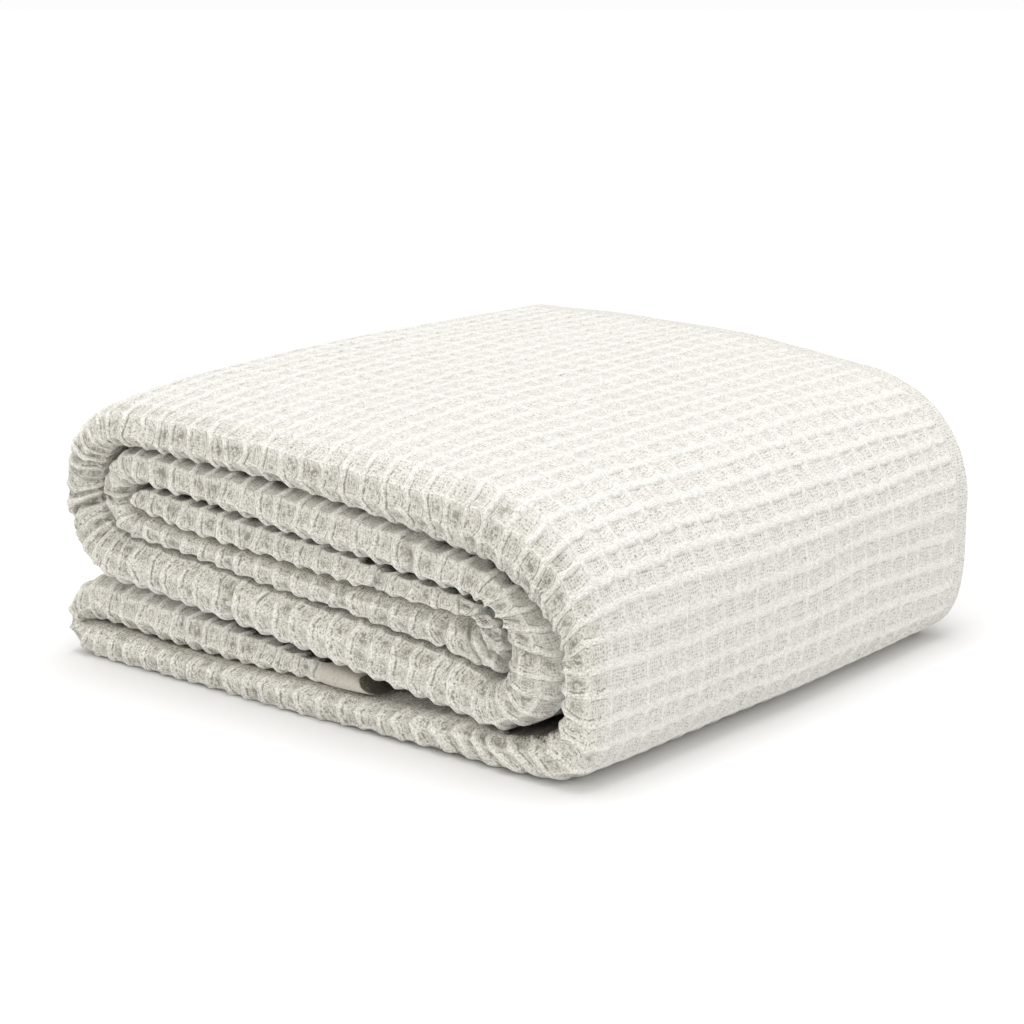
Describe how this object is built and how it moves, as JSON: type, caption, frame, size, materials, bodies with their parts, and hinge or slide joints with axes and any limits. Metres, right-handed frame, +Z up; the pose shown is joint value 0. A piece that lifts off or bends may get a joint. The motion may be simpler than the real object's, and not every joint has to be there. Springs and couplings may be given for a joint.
{
  "type": "folded waffle weave cotton blanket",
  "caption": "Waffle weave cotton blanket, doubled, folded in three and rolled flat into a square stack whose front end shows a spiral of rounded folds.",
  "frame": {"origin": "centre of the underside of the folded stack, on the surface that it lies on", "axes": "+X along the front end that shows the spiral of folds, towards the end where the top layer turns down; +Y from that front end to the back; +Z up"},
  "size_m": [0.355, 0.352, 0.1526],
  "materials": {
    "cotton": "matt off-white waffle weave cotton, soft and slightly fuzzy"
  },
  "bodies": {
    "root": {"blanket": "cotton"}
  },
  "joints": []
}
